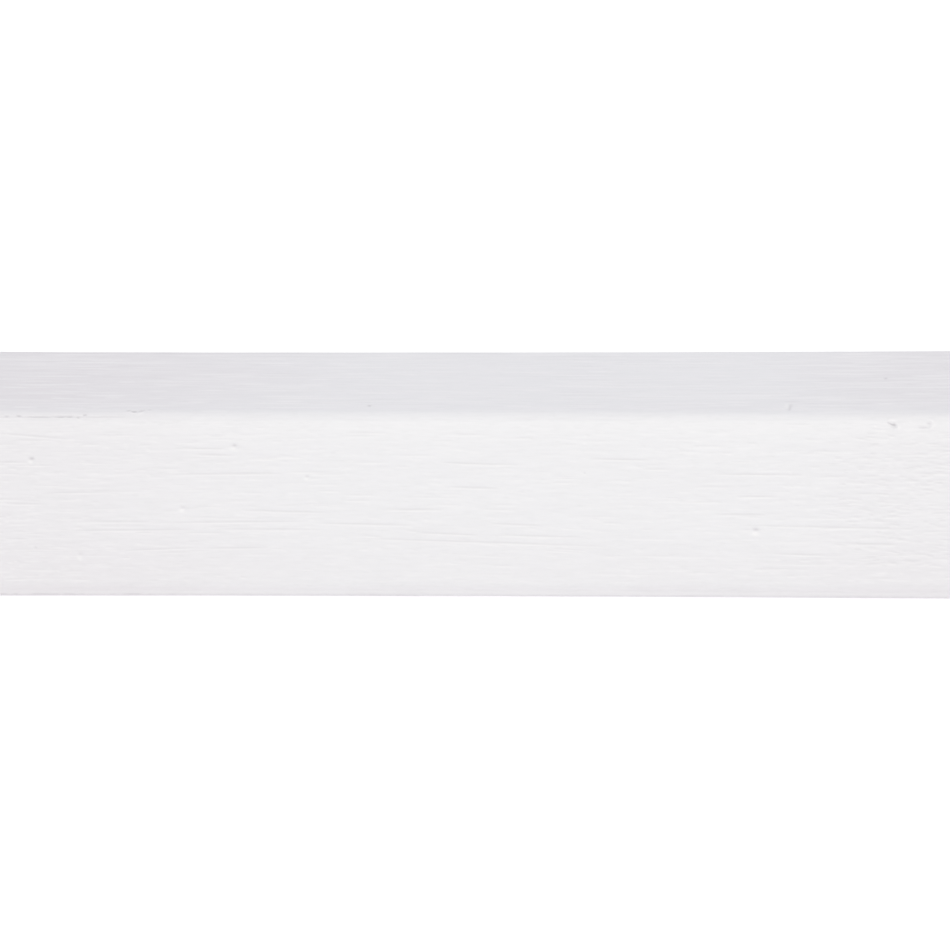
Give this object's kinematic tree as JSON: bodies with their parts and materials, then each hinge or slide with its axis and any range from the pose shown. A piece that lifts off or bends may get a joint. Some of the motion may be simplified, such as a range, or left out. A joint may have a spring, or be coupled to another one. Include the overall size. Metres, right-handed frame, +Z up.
{
  "type": "glazing bead",
  "caption": "Cut length of white-primed timber glazing bead: a slim strip with a flat front, rounded arrises and a top that slopes away from the glass to shed water.",
  "frame": {"origin": "middle of the underside of the bead", "axes": "+X along the bead, -Y the front that faces out of the window, +Y the back that bears on the glass, +Z up"},
  "size_m": [0.098, 0.014, 0.0238],
  "materials": {
    "primed_timber": "matt white factory primer over planed, open-pored hardwood, on the two cut ends too"
  },
  "bodies": {
    "root": {"glazing_bead": "primed_timber"}
  },
  "joints": []
}
